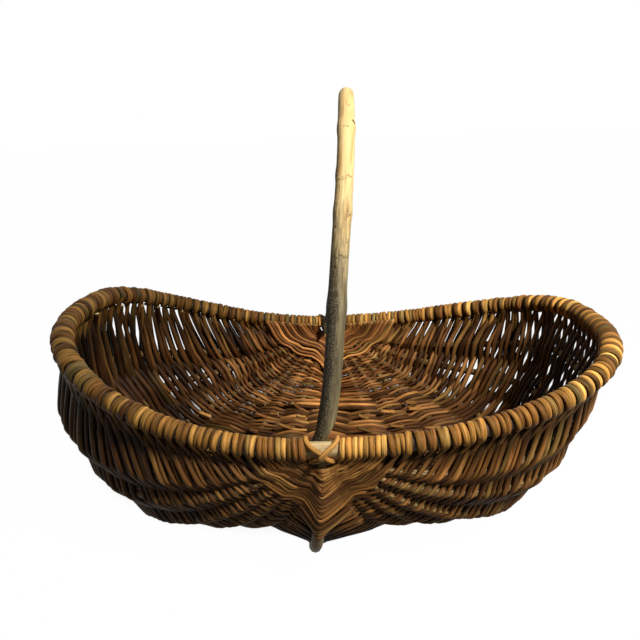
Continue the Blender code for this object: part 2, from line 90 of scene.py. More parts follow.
# Willow rows. A filler row doesn't reach the rim or cross the keel: it has a short rod in each lobe, or
# in the middle half of the rows in one lobe only. Fillers come in pairs. A list of 15 shares goes from
# the left rim over the keel to the right rim
ROWS = 204
FILLER_PAIRS = 9
FILLER_FREE_ROWS = 8
FILLER_LAST_ROW = 50
FILLER_SPACING = 4
LEFT_FILLER_ROWS = (54, 60, 66, 72, 80, 88, 96, 106, 116, 126, 136, 146)
LEFT_FILLER_ROOM_SHARES = (0.0, 0.60, 0.90, 1.10, 1.10, 1.10, 0.90) + (0.0,) * 8
RIGHT_FILLER_ROWS = (57, 69, 83, 119, 129, 133, 139, 149)
RIGHT_FILLER_ROOM_SHARES = (0.0,) * 8 + (1.00, 1.20, 1.20, 1.00, 0.80, 0.50, 0.0)
FILLER_WIDTH_SHARE = 0.60
OPEN_SHARES = (0.5, 0.7, 0.9, 0.9, 0.8, 0.7, 0.6, 0.5, 0.6, 0.7, 0.8, 0.9, 0.9, 0.7, 0.5)
FILLER_ROOM_SHARES = (0.0, 0.30, 0.70, 1.10, 1.20, 1.20, 0.90, 0.0,
                      0.90, 1.20, 1.20, 1.10, 0.70, 0.30, 0.0)
FIRST_ROW_REACH = 0.018
ROD_RADIUS_LEAST = 0.00195
ROD_RADIUS_MOST = 0.00275
ROD_BITE = 0.0024
ROD_FILL_SHARES = (1.60, 1.60, 1.50, 1.45, 1.45, 1.50, 1.60, 1.60,
                   1.60, 1.55, 1.50, 1.50, 1.50, 1.55, 1.55)
FRONT_FILL_SHARE = 0.80
MIDDLE_THIN_SHARES = (0.0,) * 10 + (0.15, 0.45, 0.75, 0.80, 0.20)
MIDDLE_THIN_POWER = 8
ROD_NARROW_RADIUS = 0.0019
ROD_WIDE_RADIUS = 0.0043
ROD_BUTT_SHARE = 1.08
ROD_TIP_SHARE = 0.86
BEND_PULL = 0.4
WRAP_FLATNESS = 0.56
WRAP_RADIUS_LEAST = 0.0022
WRAP_RADIUS_MOST = 0.0041
WRAP_START_ANGLE = math.radians(-56.0)
WRAP_TURN_ANGLE = math.radians(322.0)
WRAP_STOPS = 12
WRAP_STEPS = 2
WRAP_SLANT_SHARES = (0.3, 1.0)
SPAN_STEPS = 10
ROD_SIDES = 8
WANDER = 0.0036
SWAY_WAVES = 7
SWAY_SEED = 11
SWAY_ROW_TURNS = (1, 9)
SWAY_STRAND_TURNS = (0.5, 4)
STRAY = 0.0005
STRAY_MIDDLE_SHARE = 1.9
FILLER_RIM_SHARE = 0.86
FILLER_KEEL_SHARE = 0.74

# Painted light and shade on the rods by their place in the basket, painted shade on the side that
# neighbours hide and between rods, and gold
PAINTED_CREASE_SHADE = 0.50
WRAP_SIDE_LIGHT = 0.40
DEPTH_SHADE = 0.97
DEPTH_SLOPE = 0.8
# Painted light towards the back, painted shade inside the near wall and towards the left end, and towards
# the right end painted light outside the ribs and painted shade inside them
PAINTED_BACK_LIGHT_SHARE = 1.75
PAINTED_BACK_LIGHT_REACH = 0.130
PAINTED_BACK_LIGHT_FADE_SHARE = 0.70
PAINTED_NEAR_WALL_SHADE_SHARE = 0.48
PAINTED_NEAR_WALL_SHADE_START = 0.075
PAINTED_NEAR_WALL_SHADE_REACH = 0.150
PAINTED_LEFT_SHADE_SHARE = 0.66
PAINTED_LEFT_SHADE_START = 0.045
PAINTED_RIGHT_LIGHT_SHADE_SHARE = 0.55
LIGHT_LEAST = 0.34
BARK_LEVEL = 1.66
BLEACHED_SHARE = 0.25
GOLD_GAIN = 2.5
GOLD_LOSS = 1.5
GRAIN_SHIFT = 50

# Rows inside the ribs' tips at the ears
EAR_ROWS = 15
EAR_ROW_LIFT = 0.0042
EAR_ROW_GOLD = 0.6

# Bare corner of the keel, above which every row passes outside the keel, and how far from the ears every
# row passes outside all the sticks
KNOB_HALF_SPAN = 0.150
KNOB_TOP = 0.052
OUTSIDE_REACH = 0.058

# Cut rod ends that show inside
INNER_ENDS = 110
INNER_END_SKIP = 2
INNER_END_STATIONS = 5
INNER_END_LENGTH = 0.018
INNER_END_LENGTH_SHARES = (0.6, 1.2)
INNER_END_START = 0.0015
INNER_END_LIFT = 0.0035
INNER_END_BEND = 1.5
INNER_END_GOLD = 0.4

# Handle bow; each swell has its place along the stick, its height and its width
HANDLE_HEIGHT = 0.2855
HANDLE_FOOT_RADIUS = 0.0080
HANDLE_TOP_RADIUS = 0.0075
HANDLE_LEAN = 0.032
HANDLE_LEAN_POWER = 0.61
HANDLE_FOOT_SHIFT = -0.002
HANDLE_TAIL = 0.012
HANDLE_TAIL_SPARE = 0.004
HANDLE_TOE_SHIFT = 0.003
HANDLE_CUT_RISE = 0.026
HANDLE_SQUARENESS = 2.09
HANDLE_HALF_SPAN = 0.1847
HANDLE_STEPS = 260
BOW_LINE_STEPS = 4000
HANDLE_SWAY = 0.0006
HANDLE_SWAY_TURNS = 30
HANDLE_SWAY_START_GAIN = 5
HANDLE_SWELLS = ((0.135, 0.0011, 0.010), (0.215, 0.0007, 0.007), (0.300, 0.0009, 0.009),
                 (0.430, 0.0008, 0.008), (0.560, 0.0010, 0.010))
HANDLE_SIDES = 28

# Marks on the front leg, by the length along it in metres and the share of the way round it: cracks
# with their half sizes, knots with their radius, and where the bark is left
CRACK_SWAY = 0.014
HANDLE_CRACKS = (((0.2410, 0.66), (0.00055, 0.13)), ((0.2440, 0.84), (0.00045, 0.06)),
                 ((0.2110, 0.88), (0.00045, 0.04)), ((0.1900, 0.89), (0.00045, 0.05)),
                 ((0.1760, 0.72), (0.00070, 0.20)), ((0.2190, 0.62), (0.00045, 0.04)),
                 ((0.2300, 0.67), (0.00700, 0.005)), ((0.2940, 0.75), (0.00045, 0.05)),
                 ((0.3250, 0.80), (0.00045, 0.04)), ((0.1560, 0.83), (0.01200, 0.005)))
HANDLE_KNOTS = ((0.1670, 0.68, 0.0016), (0.1450, 0.70, 0.0028), (0.3030, 0.90, 0.0022),
                (0.1180, 0.66, 0.0014), (0.2000, 0.64, 0.0010))
BARK_TURN = 0.57
BARK_SIDE_GAIN = 2.2
BARK_SIDE_LOSS = 0.9
BARK_SIDE_SWAY = 2.5
BLEACHED_SPAN = (0.46, 0.74)
BLEACHED_SWAY = 0.5
CRACK_SHARE = 0.85

# Crossed ties at the ears
TIE_RADIUS = 0.00225
TIE_TOP_OFFSET = 0.0135
TIE_FOOT_OFFSET = 0.0100
TIE_GAP = 0.0006
TIE_STEPS = 40
TIE_START_DEGREES = -100
TIE_END_DEGREES = 165
TIE_FOOT_TURN = math.radians(75)
TIE_LIFT_TURN = math.radians(30)
TIE_HUE = 0.55
TIE_HUE_STEP = 0.1
TIE_GOLD = 0.55
TIE_LIGHT = 0.8

# Stretch of the hoop that is bare at each ear
BARE_HALF_SPAN = 0.030
BARE_FADE = 1.5

# Colours: each ramp is a row of places, each with its colour
BROWN_BARK = ((0.0, 0.034, 0.013, 0.004), (0.25, 0.090, 0.032, 0.008), (0.55, 0.165, 0.064, 0.018),
              (0.80, 0.260, 0.112, 0.031), (1.0, 0.135, 0.074, 0.018))
GOLDEN_BARK = ((0.0, 0.160, 0.063, 0.014), (0.3, 0.300, 0.130, 0.028), (0.6, 0.430, 0.203, 0.042),
               (0.85, 0.540, 0.285, 0.068), (1.0, 0.190, 0.133, 0.040))
CUT_WOOD = ((0.3, 0.42, 0.28, 0.12), (0.7, 0.66, 0.50, 0.27))
RIB_WOOD = ((0.3, 0.055, 0.029, 0.009), (0.5, 0.135, 0.078, 0.026), (0.7, 0.310, 0.195, 0.075))
KEEL_WOOD = ((0.3, 0.075, 0.048, 0.016), (0.5, 0.170, 0.115, 0.040), (0.7, 0.290, 0.210, 0.085))
BARE_HOOP = ((0.3, 0.34, 0.22, 0.09), (0.5, 0.52, 0.37, 0.17), (0.7, 0.68, 0.52, 0.28))
# Painted shade on the hoop where the wrapping covers it
PAINTED_SHADE_HOOP = ((0.3, 0.035, 0.020, 0.009), (0.7, 0.075, 0.045, 0.020))
OLD_WOOD = ((0.3, 0.085, 0.066, 0.032), (0.5, 0.190, 0.150, 0.074), (0.75, 0.330, 0.265, 0.140))
ROUGH_BARK = ((0.35, 0.010, 0.007, 0.004), (0.52, 0.045, 0.032, 0.017), (0.70, 0.240, 0.200, 0.130))
BLEACHED_WOOD = ((0.25, 0.420, 0.240, 0.085), (0.42, 0.740, 0.490, 0.190), (0.70, 0.900, 0.680, 0.330))
CRACK_COLOUR = (0.055, 0.034, 0.014, 1.0)
GRAIN_SPAN = (0.3, 0.7)
BARK_GRAIN_LEVELS = (0.38, 1.55)
BARK_FLECK = 0.4

# Floor: the oval in which it shows the basket's shadow, which fades out between two shares of its reach
FLOOR_SHADE_CENTRE = (-0.05, 0.20)
FLOOR_SHADE_REACH = (0.32, 0.33)
FLOOR_SHADE_FADE = (0.65, 1.0)
FLOOR_WHITE_SHARE = 0.99
FLOOR_HALF = 30.0
FLOOR_COLOUR = 0.08
FLOOR_LIT_COLOUR = 0.64
FLOOR_GLOW = 0.36

# Light
WORLD_LEVEL = 0.022
KEY_LAMP_PLACE = (0.90, -0.92, 1.45)
KEY_LAMP_TARGET = (0, 0, 0.1)
KEY_LAMP_SIZE = 0.30
KEY_LAMP_POWER = 48.0

# Camera of the photograph
CAMERA_AZIMUTH = 0.033
CAMERA_ELEVATION = 0.342
CAMERA_ROLL = -0.038
CAMERA_DISTANCE = 0.75855
CAMERA_LENS = 37.92
CAMERA_SENSOR = 36.0
CAMERA_CLIP = 0.01
CAMERA_SHIFT_X = -0.0103
CAMERA_SHIFT_Y = 0.0784

NODES = sorted(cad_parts)
luck = np.random.default_rng(4081)


def unit(vectors):
    """Vectors scaled to length one along their last axis."""
    return vectors / np.maximum(np.linalg.norm(vectors, axis=-1, keepdims=True), 1e-12)


def way_along(path):
    """Length from the start of each path to each of its stations."""
    leg = np.linalg.norm(np.diff(path, axis=-2), axis=-1)
    return np.concatenate([np.zeros(leg.shape[:-1] + (1,)), np.cumsum(leg, axis=-1)], axis=-1)


def read_between(spot, grid, table):
    """Values of a table's three columns at these spots of its grid."""
    return np.stack([np.interp(spot, grid, table[:, k]) for k in range(3)], -1)


def strand_line(index):
    """Points of one frame stick from the front ear to the middle, evenly spaced along it.

    The stick is a superellipse swung about the line between the ears: out = reach cos(turn)^(2/n) and
    along = half width sin(turn)^(2/n), while the swing angle goes from its place in the fan at the ear to
    its place in the middle section.
    """
    side = -1 if index < 0 else 1
    rank = abs(index)
    if rank == 0:
        x, z, fan, squareness = -KEEL_SWAY, -KEEL_DEPTH, 0.0, KEEL_SQUARENESS
    elif rank == RIM:
        x, z = (RIM_REACH_RIGHT, RIM_RISE_RIGHT) if side > 0 else (-RIM_REACH_LEFT, RIM_RISE_LEFT)
        fan, squareness = side * FAN_RIM_ANGLE, RIM_SQUARENESS
    else:
        x = side * LOBE_REACH * RIB_REACH_SHARES[rank - 1]
        z = -LOBE_DEPTH * RIB_DEPTH_SHARES[rank - 1]
        fan, squareness = side * (FAN_FIRST_ANGLE + (rank - 1) * FAN_STEP_ANGLE), RIB_SQUARENESS[rank - 1]
    turn = np.linspace(math.pi / 2, 0, LINE_STEPS)
    swing = np.cos(turn).clip(0) ** (2 / squareness)
    along = np.sin(turn).clip(0) ** (2 / squareness)
    angle = fan + (math.atan2(x, -z) - fan) * swing
    out = math.hypot(x, z) * swing
    line = np.stack([out * np.sin(angle), -RIM_HALF_WIDTH * along, EAR_HEIGHT - out * np.cos(angle)], -1)
    way = way_along(line)
    even = np.linspace(0, way[-1], HALF_STEPS + 1)
    return read_between(even, way, line), way[-1]


def strand_tables():
    """Points, outward normals and run directions of all the frame sticks, ear to ear, and half lengths.

    The normal is square to the stick's own run and to the line that joins its neighbours.
    """
    lines, lengths = zip(*(strand_line(index) for index in STRAND_ORDER))
    front = np.array(lines)
    back = front[:, -2::-1] * np.array([1, -1, 1])
    points = np.concatenate([front, back], axis=1)
    run = unit(np.gradient(points, axis=1))
    across = np.gradient(points, axis=0)
    normal = unit(np.cross(run, across))
    heart = np.array([0, 0, EAR_HEIGHT])
    away = np.sum(normal * (points - heart), axis=-1, keepdims=True)
    normal = normal * np.sign(away)
    normal[:, 0] = normal[:, 1]
    normal[:, -1] = normal[:, -2]
    return points, normal, run, np.array(lengths)


def look_up(table, share):
    """Values of every strand's table at the share (0 front ear, 1 middle, 2 back ear) of [row, strand]."""
    spot = np.clip(share, 0, 2) * HALF_STEPS
    low = np.minimum(spot.astype(int), 2 * HALF_STEPS - 1)
    part = (spot - low)[..., None]
    strand = np.arange(STRANDS)[None, :]
    return table[strand, low] * (1 - part) + table[strand, low + 1] * part


def ear_reach(place):
    """Distance of each place from the line between the ears."""
    return np.hypot(place[..., 0], place[..., 2] - EAR_HEIGHT)


def stick_radius(reach, index):
    """Radius of a frame stick where it is this far from the line between the ears."""
    if index == 0:
        return np.interp(reach, [0, RIB_NECK_REACH], [KEEL_END_RADIUS, KEEL_RADIUS])
    return np.interp(reach, [RIB_TIP_REACH, RIB_NECK_REACH, RIB_FULL_REACH],
                     [RIB_TIP_RADIUS, RIB_NECK_RADIUS, RIB_RADIUS])


def stick_radii(reach):
    """Radius of every frame stick, [row, strand], where it is this far from the line between the ears."""
    return np.stack([stick_radius(reach[:, k], index) for k, index in enumerate(STRAND_ORDER)], axis=1)


def slow_sway():
    """Slow random sway of rows and strands, [row, strand]: a sum of sine waves in both, about -1 to 1."""
    pick = np.random.default_rng(SWAY_SEED)
    row = np.linspace(0, 1, ROWS)[:, None]
    strand = np.linspace(0, 1, STRANDS)[None, :]
    total = np.zeros((ROWS, STRANDS))
    for _ in range(SWAY_WAVES):
        phase = pick.uniform(0, 2 * math.pi)
        turns = pick.uniform(*SWAY_ROW_TURNS) * row + pick.uniform(*SWAY_STRAND_TURNS) * strand
        total += np.sin(2 * math.pi * turns + phase)
    return total / math.sqrt(SWAY_WAVES)


def hermite(stops, steps, pulls):
    """Smooth line through stops, [row, stop, value], by a cubic on each span.

    Its slope at a stop is the mean of the two spans' slopes, each weighed by the other span's length.
    A pull under 1 weakens that slope, which makes the span straighter and its bends sharper.
    """
    span = np.linalg.norm(np.diff(stops[..., :3], axis=1), axis=-1)[..., None] + 1e-9
    slope = np.diff(stops, axis=1) / span
    inner = (slope[:, :-1] * span[:, 1:] + slope[:, 1:] * span[:, :-1]) / (span[:, :-1] + span[:, 1:])
    tangent = np.concatenate([slope[:, :1], inner, slope[:, -1:]], axis=1)
    parts = []
    for k, (count, pull) in enumerate(zip(steps, pulls)):
        t = np.linspace(0, 1, count, endpoint=False)[None, :, None]
        a, b = stops[:, k:k + 1], stops[:, k + 1:k + 2]
        ma, mb = (tangent[:, end:end + 1] * span[:, k:k + 1] * pull for end in (k, k + 1))
        parts.append((2 * t**3 - 3 * t**2 + 1) * a + (t**3 - 2 * t**2 + t) * ma
                     + (3 * t**2 - 2 * t**3) * b + (t**3 - t**2) * mb)
    parts.append(stops[:, -1:])
    return np.concatenate(parts, axis=1)


def round_grid(path, outward, radii, sides, flatness=1.0, closed=False):
    """Round sticks along their paths, [stick, station, spot, xyz].

    Each ring is path + radius (flatness cos a out + sin a side): out is the outward direction squared up
    to the path, side is square to both, and a goes once round. A closed path goes on from its last
    station to its first.
    """
    ahead = np.roll(path, -1, axis=-2) - np.roll(path, 1, axis=-2) if closed else np.gradient(path, axis=-2)
    ahead = unit(ahead)
    out = unit(outward - np.sum(outward * ahead, axis=-1, keepdims=True) * ahead)
    side = np.cross(ahead, out)
    angle = np.linspace(0, 2 * math.pi, sides, endpoint=False)[:, None]
    thick = np.broadcast_to(flatness, np.shape(radii))[..., None, None]
    ring = thick * np.cos(angle) * out[..., None, :] + np.sin(angle) * side[..., None, :]
    return path[..., None, :] + np.asarray(radii)[..., None, None] * ring


def placed(name, data):
    """Object that shows this data, in the scene."""
    piece = bpy.data.objects.new(name, data)
    bpy.context.scene.collection.objects.link(piece)
    return piece


def sticks_piece(name, grid, way, tone, materials, nodes, slot, closed=False):
    """One piece from a grid of sticks: four-sided faces between rings, and a flat face on each cut end.

    The UV map holds the length along the stick in metres and the share of the way round it.
    """
    sticks, stations, sides = grid.shape[:3]
    base = (np.arange(sticks) * stations * sides)[:, None, None]
    station = np.arange(stations if closed else stations - 1)[None, :, None]
    spot = np.arange(sides)[None, None, :]
    after = (spot + 1) % sides
    here, there = base + station * sides, base + (station + 1) % stations * sides
    quads = np.stack([here + spot, here + after, there + after, there + spot], -1).reshape(-1, 4)
    around = np.broadcast_to(np.stack([spot, spot + 1, spot + 1, spot], -1) / sides,
                             here.shape[:2] + (sides, 4)).reshape(-1)
    way = np.broadcast_to(way, (sticks, stations))
    near, far = way[:, :, None], np.roll(way, -1, axis=1)[:, :, None]
    if not closed:
        near, far = near[:, :-1], far[:, :-1]
    else:
        far[:, -1] = 2 * near[:, -1] - near[:, -2]
    shape = near.shape[:2] + (sides,)
    along = np.stack([np.broadcast_to(part, shape) for part in (near, near, far, far)], -1).reshape(-1)
    corners, totals = quads.reshape(-1), np.full(len(quads), 4)
    if not closed:
        first = (base[:, 0] + np.arange(sides)[::-1][None, :]).reshape(-1)
        last = (base[:, 0] + (stations - 1) * sides + np.arange(sides)[None, :]).reshape(-1)
        corners = np.concatenate([corners, first, last])
        totals = np.concatenate([totals, np.full(2 * sticks, sides)])
        ends = np.concatenate([np.repeat(way[:, 0], sides), np.repeat(way[:, -1], sides)])
        along = np.concatenate([along, ends])
        around = np.concatenate([around, np.full(2 * sticks * sides, 0.5)])
    mesh = bpy.data.meshes.new(name)
    grid = grid + np.array([EAR_X, 0, 0])
    mesh.vertices.add(grid.size // 3)
    mesh.vertices.foreach_set("co", grid.astype(np.float32).reshape(-1))
    mesh.loops.add(len(corners))
    mesh.loops.foreach_set("vertex_index", corners.astype(np.int32))
    mesh.polygons.add(len(totals))
    starts = np.concatenate([[0], np.cumsum(totals)[:-1]])
    material_index = np.where(totals == 4, 0, len(materials) - 1)
    for field, values in (("loop_start", starts), ("loop_total", totals),
                          ("material_index", material_index)):
        mesh.polygons.foreach_set(field, values.astype(np.int32))
    mesh.polygons.foreach_set("use_smooth", totals == 4)
    layer = mesh.uv_layers.new(name="stick_way")
    layer.data.foreach_set("uv", np.stack([along, around], -1).astype(np.float32).reshape(-1))
    colour = np.ones((sticks, stations, sides, 4), np.float32)
    colour[..., :3] = tone
    paint = mesh.attributes.new("tone", "FLOAT_COLOR", "POINT")
    paint.data.foreach_set("color", colour.reshape(-1))
    for material in materials:
        mesh.materials.append(material)
    mesh.update(calc_edges=True)
    mesh.validate()
    piece = placed(name, mesh)
    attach(piece, "root")
    if nodes:
        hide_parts(*nodes)


def add_node(tree, kind, *values, **traits):
    """Node with these traits, whose first sockets hold these values or are fed by these sockets.

    A socket for which None is given stays as it is.
    """
    node = tree.nodes.new(f"ShaderNode{kind}")
    for trait, value in traits.items():
        setattr(node, trait, value)
    for socket, value in zip(node.inputs, values):
        if isinstance(value, bpy.types.NodeSocket):
            tree.links.new(value, socket)
        elif value is not None:
            socket.default_value = value
    return node


def colour_ramp(tree, stops, share):
    """Ramp from one colour to the next; each stop has its place and its colour."""
    node = add_node(tree, "ValToRGB", share)
    ramp = node.color_ramp
    while len(ramp.elements) < len(stops):
        ramp.elements.new(0.5)
    for element, (place, *colour) in zip(ramp.elements, stops):
        element.position = place
        element.color = (*colour, 1.0)
    return node.outputs["Color"]


def spread(tree, value, span, result=(0.0, 1.0), kind="LINEAR"):
    """Value turned from the span's ends into the result's ends, and no further."""
    return add_node(tree, "MapRange", value, *span, *result, interpolation_type=kind).outputs[0]


def mixed(tree, kind, share, a, b):
    """Mix of two colours, which are the seventh and eighth sockets of their node."""
    spare = [None] * 5
    node = add_node(tree, "Mix", share, *spare, a, b, data_type="RGBA", blend_type=kind)
    return node.outputs[2]


def sums(tree, kind, *values):
    """Math node on sockets or numbers."""
    return add_node(tree, "Math", *values, operation=kind).outputs[0]


def new_material(name, roughness, sheen=0.20):
    """Material with its node tree and shader; the roughness and the sheen are the same all over."""
    material = bpy.data.materials.new(name)
    material.use_nodes = True
    shader = material.node_tree.nodes["Principled BSDF"]
    shader.inputs["Roughness"].default_value = roughness
    shader.inputs["Specular IOR Level"].default_value = sheen
    return material, material.node_tree, shader


def tone_parts(tree):
    """The three values of the piece's tone."""
    tone = add_node(tree, "Attribute", attribute_name="tone")
    return add_node(tree, "SeparateColor", tone.outputs["Color"]).outputs


def grain(tree, along_scale, round_scale, detail=3.0):
    """Noise drawn out along the stick, with no seam where its map closes, and the parts of the map.

    It is read at (along scale times length, round scale times cos a, round scale times sin a), where a goes
    once round the stick.
    """
    uv = add_node(tree, "UVMap", uv_map="stick_way")
    way = add_node(tree, "SeparateXYZ", uv.outputs["UV"]).outputs
    turn = sums(tree, "MULTIPLY", way[1], 2 * math.pi)
    place = add_node(tree, "CombineXYZ", sums(tree, "MULTIPLY", way[0], along_scale),
                     sums(tree, "MULTIPLY", sums(tree, "COSINE", turn), round_scale),
                     sums(tree, "MULTIPLY", sums(tree, "SINE", turn), round_scale))
    noise = add_node(tree, "TexNoise", place.outputs[0], None, 1.0, detail)
    return noise.outputs["Fac"], way


def add_bump(tree, shader, height, strength, distance):
    """Fine relief of the surface by this height."""
    bump = tree.nodes.new("ShaderNodeBump")
    bump.inputs["Strength"].default_value = strength
    bump.inputs["Distance"].default_value = distance
    tree.links.new(height, bump.inputs["Height"])
    tree.links.new(bump.outputs["Normal"], shader.inputs["Normal"])


def willow_bark():
    """Bark of the rods: brown in the weave and golden on the rim, by the piece's tone, whose light value
    holds painted light and shade.
    """
    material, tree, shader = new_material("willow_bark", roughness=0.50, sheen=0.08)
    hue, gold, light = tone_parts(tree)
    base = mixed(tree, "MIX", gold, colour_ramp(tree, BROWN_BARK, hue), colour_ramp(tree, GOLDEN_BARK, hue))
    streak, _ = grain(tree, along_scale=45.0, round_scale=1.6)
    fleck, _ = grain(tree, along_scale=260.0, round_scale=2.4)
    shade = spread(tree, streak, GRAIN_SPAN, BARK_GRAIN_LEVELS)
    # The tone's light value is painted light and shade, times each rod's own brightness
    level = sums(tree, "MULTIPLY", shade, sums(tree, "MULTIPLY", light, BARK_LEVEL))
    tree.links.new(mixed(tree, "MULTIPLY", 1.0, base, level), shader.inputs["Base Color"])
    height = sums(tree, "ADD", streak, sums(tree, "MULTIPLY", fleck, BARK_FLECK))
    add_bump(tree, shader, height, strength=0.35, distance=0.0006)
    return material


def cut_willow():
    """Fresh wood of a cut end."""
    material, tree, shader = new_material("cut_willow", roughness=0.7)
    fleck, _ = grain(tree, along_scale=300.0, round_scale=3.0)
    tree.links.new(colour_ramp(tree, CUT_WOOD, fleck), shader.inputs["Base Color"])
    return material


def peeled_stick(name, colours, shaded_under_wrap=None):
    """Stick with a drawn-out grain; its tone tells where it has dark painted shade under a wrapping."""
    material, tree, shader = new_material(name, roughness=0.58)
    streak, _ = grain(tree, along_scale=25.0, round_scale=2.2, detail=5.0)
    base = colour_ramp(tree, colours, streak)
    if shaded_under_wrap:
        base = mixed(tree, "MIX", tone_parts(tree)[0], colour_ramp(tree, shaded_under_wrap, streak), base)
    tree.links.new(base, shader.inputs["Base Color"])
    add_bump(tree, shader, streak, strength=0.4, distance=0.0008)
    return material


def patch(tree, way, place, half_size):
    """One inside an oblong patch of a stick.

    Place and half size are along it in metres and round it in shares.
    """
    parts = [sums(tree, "COMPARE", socket, at, half) for socket, at, half in zip(way, place, half_size)]
    return sums(tree, "MULTIPLY", *parts)


def disc(tree, way, place, turn, size):
    """One inside a disc on the handle, where (along / size)^2 + (across / size)^2 is less than one."""
    along, around = way
    girth = 2 * math.pi * HANDLE_TOP_RADIUS
    across = sums(tree, "MULTIPLY", sums(tree, "SUBTRACT", around, turn), girth / size)
    past = sums(tree, "MULTIPLY", sums(tree, "SUBTRACT", along, place), 1 / size)
    far = sums(tree, "ADD", sums(tree, "POWER", past, 2.0), sums(tree, "POWER", across, 2.0))
    return sums(tree, "LESS_THAN", far, 1.0)


def handle_stick():
    """Old stick: grey olive near the feet, dark bark left on one side, pale and cracked towards the top."""
    material, tree, shader = new_material("handle_stick", roughness=0.62)
    streak, (along, around, _) = grain(tree, along_scale=22.0, round_scale=1.8, detail=6.0)
    fine, _ = grain(tree, along_scale=90.0, round_scale=5.0, detail=4.0)
    pits, _ = grain(tree, along_scale=700.0, round_scale=9.0, detail=2.0)
    high, left, _ = tone_parts(tree)
    sway = sums(tree, "SUBTRACT", fine, 0.5)
    side = sums(tree, "MULTIPLY_ADD", left, BARK_SIDE_GAIN, -BARK_SIDE_LOSS)
    barked = add_node(tree, "Clamp", sums(tree, "MULTIPLY_ADD", sway, BARK_SIDE_SWAY, side)).outputs[0]
    pale = spread(tree, sums(tree, "MULTIPLY_ADD", sway, BLEACHED_SWAY, high), BLEACHED_SPAN)
    low = sums(tree, "POWER", sums(tree, "SUBTRACT", 1.0, pale), 2.0)
    old, bleached = (colour_ramp(tree, colours, streak) for colours in (OLD_WOOD, BLEACHED_WOOD))
    rough = colour_ramp(tree, ROUGH_BARK, pits)
    base = mixed(tree, "MIX", pale, old, bleached)
    base = mixed(tree, "MIX", sums(tree, "MULTIPLY", barked, low), base, rough)
    way = (sums(tree, "MULTIPLY_ADD", sway, CRACK_SWAY, along), around)
    marks = 0.0
    for place, half_size in HANDLE_CRACKS:
        marks = sums(tree, "ADD", patch(tree, way, place, half_size), marks)
    for knot in HANDLE_KNOTS:
        marks = sums(tree, "ADD", disc(tree, (along, around), *knot), marks)
    marks = sums(tree, "MULTIPLY", sums(tree, "MINIMUM", marks, 1.0), CRACK_SHARE)
    tree.links.new(mixed(tree, "MIX", marks, base, CRACK_COLOUR), shader.inputs["Base Color"])
    height = sums(tree, "ADD", streak, sums(tree, "MULTIPLY", fine, 0.5))
    add_bump(tree, shader, sums(tree, "SUBTRACT", height, marks), strength=0.5, distance=0.0010)
    return material


points, normals, runs, lengths = strand_tables()
bark = willow_bark()
cut_face = cut_willow()


def plan_rows():
    """Thickness of each row, its share of a row's room on each strand, and which rows are fillers.

    Fillers come in pairs between each ear and the middle, with some more of one lobe in the middle.
    """
    thickness = luck.uniform(ROD_RADIUS_LEAST, ROD_RADIUS_MOST, ROWS)
    room = np.ones((ROWS, STRANDS))
    free = np.arange(FILLER_FREE_ROWS, FILLER_LAST_ROW, FILLER_SPACING)
    for hand in (1, -1):
        places = luck.choice(free, FILLER_PAIRS, replace=False)
        for place in (places, places + 1):
            room[hand * place - (hand < 0)] = FILLER_ROOM_SHARES
    for places, shares in ((LEFT_FILLER_ROWS, LEFT_FILLER_ROOM_SHARES),
                           (RIGHT_FILLER_ROWS, RIGHT_FILLER_ROOM_SHARES)):
        for place in places:
            room[place:place + 2] = shares
    return thickness, room, room[:, RIM] == 0


def row_shares(thickness, room):
    """Place of each row on each strand, 0 at the front ear to 2 at the back one, and its own width there.

    Rows take room by their thickness, more of it towards the basket's two ends. All of them sway together
    slowly, and each strays a little, more so near the middle. Rods are wider than their room, for those
    inside the ribs and those outside cover each other's gaps, but less so at the right end and in the
    front half.
    """
    first = FIRST_ROW_REACH / lengths[None, :]
    bell = np.sin(math.pi * np.linspace(0, 1, ROWS))[:, None]
    open_up = 1 + np.array(OPEN_SHARES) * bell ** 2
    half = thickness[:, None] * open_up * room
    place = np.concatenate([np.zeros((1, STRANDS)), np.cumsum(half[1:] + half[:-1], axis=0)])
    scale = (2 - 2 * first) / place[-1]
    share = first + scale * place
    sway = slow_sway() * WANDER * bell ** 0.5
    stray = luck.normal(0, STRAY, (ROWS, STRANDS)) * (1 + STRAY_MIDDLE_SHARE * bell ** 2)
    fill = np.array(ROD_FILL_SHARES) - np.array(MIDDLE_THIN_SHARES) * bell ** MIDDLE_THIN_POWER
    fill[:ROWS // 2] *= FRONT_FILL_SHARE
    width = 2 * thickness.mean() * open_up * scale * lengths * fill
    width = width * (FILLER_WIDTH_SHARE + (1 - FILLER_WIDTH_SHARE) * np.minimum(room, 1))
    return share + (sway + stray) / lengths[None, :], width


def wrap_stops(share, column, coming):
    """Stops of each row's turn round the rim, from where it leaves the weave, with directions and radii.

    The turn is a circle round the rim stick that also moves along it: rim + reach (cos a out + sin a up),
    starting on the face that the row comes from. Its rods are as wide as their room on the rim.
    """
    pitch = np.gradient(share[:, column])
    width = np.clip(pitch * lengths[column] / 2, WRAP_RADIUS_LEAST, WRAP_RADIUS_MOST)
    angle = np.linspace(WRAP_START_ANGLE, WRAP_START_ANGLE + WRAP_TURN_ANGLE, WRAP_STOPS)
    slant = luck.uniform(*WRAP_SLANT_SHARES, len(share))
    drift = (pitch * slant)[:, None] * (angle - math.pi / 2)[None, :] / (2 * math.pi)
    spot = np.clip(share[:, column, None] + drift, 0, 2) * HALF_STEPS
    grid = np.arange(2 * HALF_STEPS + 1)
    centre, out, ahead = (read_between(spot, grid, table[column]) for table in (points, normals, runs))
    out, ahead = unit(out), unit(ahead)
    up = np.cross(out, ahead)
    up = up * np.sign(np.sum(up * np.array([0, 0, 1]), axis=-1, keepdims=True))
    face = coming[:, None, None]
    turn = angle[None, :, None]
    way = np.cos(turn) * out * face + np.sin(turn) * up
    reach = RIM_RADIUS + width[:, None, None] * WRAP_FLATNESS
    return centre + reach * way, way * face, np.repeat(width[:, None], WRAP_STOPS, axis=1)


